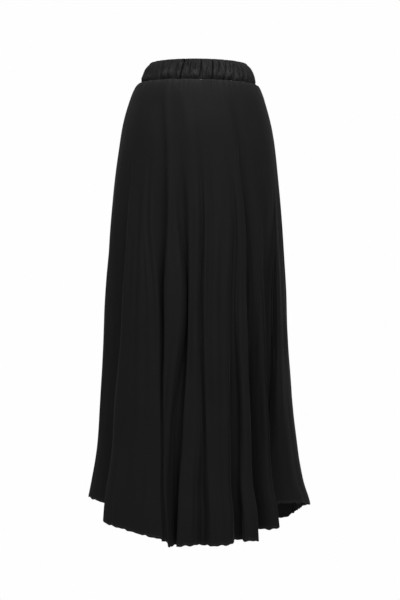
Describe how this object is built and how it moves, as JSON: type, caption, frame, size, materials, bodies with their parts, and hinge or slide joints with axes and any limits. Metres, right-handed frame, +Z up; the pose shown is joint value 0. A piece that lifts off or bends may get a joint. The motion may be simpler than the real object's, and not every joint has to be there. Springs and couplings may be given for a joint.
{
  "type": "bias-cut flared skirt",
  "caption": "Long black bias-cut flared skirt, hollow as worn, with a gathered elastic waistband, deep hanging folds and a dipping curved hem.",
  "frame": {"origin": "centre of the waist opening, half way up the waistband", "axes": "+Z up, out of the waist opening; -Y towards the front of the wearer; +X towards the wearer's left side"},
  "size_m": [0.4638, 0.4141, 0.9927],
  "materials": {
    "black_crepe": "matte woven crepe",
    "black_gathered_crepe": "soft sheen, gathered on elastic"
  },
  "bodies": {
    "root": {"skirt_front": "black_crepe", "skirt_back": "black_crepe", "waistband_front": "black_gathered_crepe", "waistband_back": "black_gathered_crepe"}
  },
  "joints": []
}
